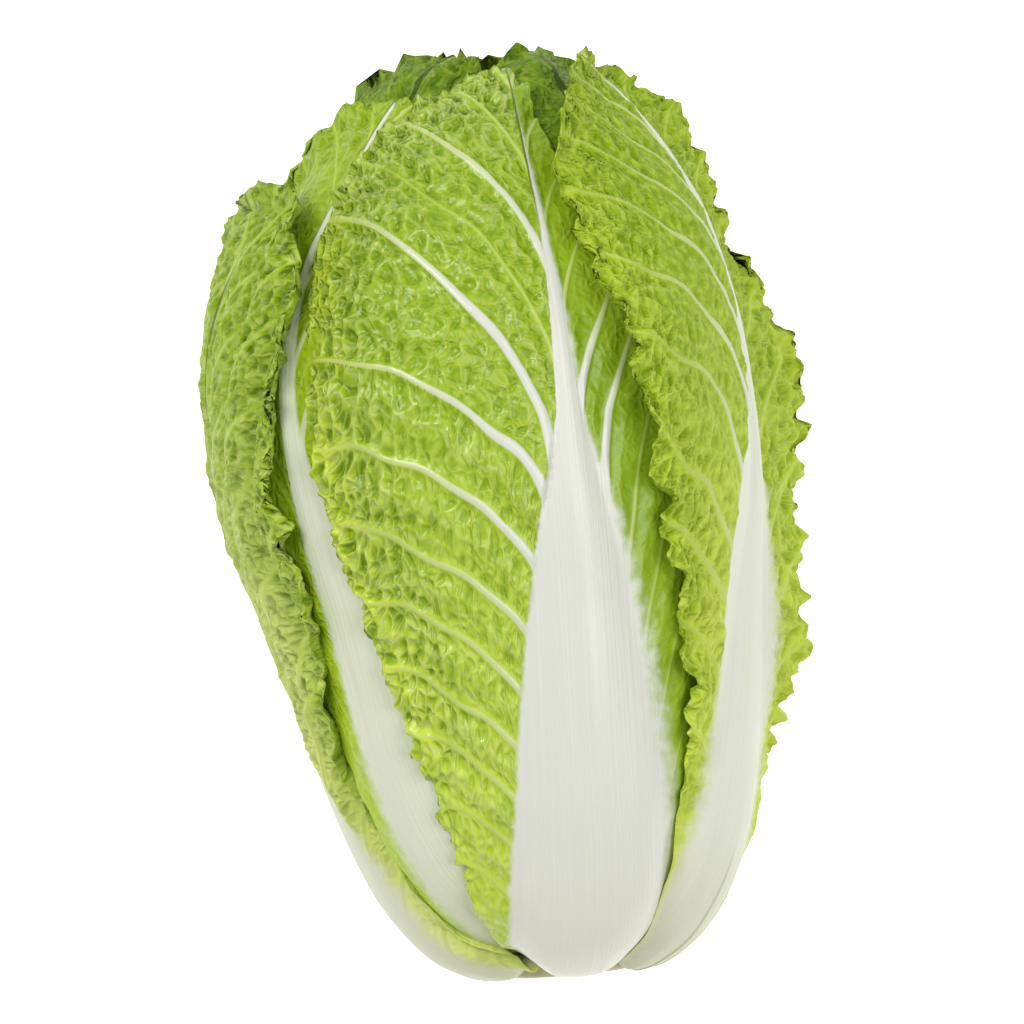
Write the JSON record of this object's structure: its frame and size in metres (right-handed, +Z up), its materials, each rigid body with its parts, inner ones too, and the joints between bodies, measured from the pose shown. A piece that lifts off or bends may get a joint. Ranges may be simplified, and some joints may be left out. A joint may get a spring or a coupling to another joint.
{
  "type": "napa cabbage",
  "caption": "Whole napa cabbage head lying on its side: broad white midribs, crinkled green leaves folded over one another into a blunt barrel, trimmed flat at the butt.",
  "frame": {"origin": "on the table under the middle of the head's bounding box", "axes": "+Y runs along the head from the cut butt to the leaf tips, +Z is up from the table, +X points to the head's right as seen from above with the leaf tips away from the viewer"},
  "size_m": [0.1844, 0.292, 0.1564],
  "materials": {
    "right_leaf": "crinkled green leaf blade with a white midrib",
    "left_leaf": "dark green pleated leaf blade with a white midrib",
    "back_leaf": "crinkled green leaf blade with a white midrib",
    "front_leaf": "glossy blistered green leaf blade with a broad white midrib",
    "right_back_leaf": "crinkled green leaf blade with a white midrib",
    "left_back_leaf": "crinkled green leaf blade with a white midrib",
    "left_front_leaf": "smooth yellow-green leaf blade with a white midrib",
    "middle_leaf": "pale green crinkled leaf",
    "heart_leaf": "pale yellow crinkled leaf",
    "stem": "firm cream-white stem, freshly cut"
  },
  "bodies": {
    "root": {"right_leaf": "right_leaf", "left_leaf": "left_leaf", "back_leaf": "back_leaf", "front_leaf": "front_leaf", "right_back_leaf": "right_back_leaf", "left_back_leaf": "left_back_leaf", "left_front_leaf": "left_front_leaf", "middle_leaf_1": "middle_leaf", "middle_leaf_2": "middle_leaf", "middle_leaf_3": "middle_leaf", "middle_leaf_4": "middle_leaf", "middle_leaf_5": "middle_leaf", "middle_leaf_6": "middle_leaf", "middle_leaf_7": "middle_leaf", "middle_leaf_8": "middle_leaf", "heart_leaf_1": "heart_leaf", "heart_leaf_2": "heart_leaf", "heart_leaf_3": "heart_leaf", "heart_leaf_4": "heart_leaf", "heart_leaf_5": "heart_leaf", "heart_leaf_6": "heart_leaf", "heart_leaf_7": "heart_leaf", "heart_leaf_8": "heart_leaf", "heart_leaf_9": "heart_leaf", "stem": "stem"}
  },
  "joints": []
}
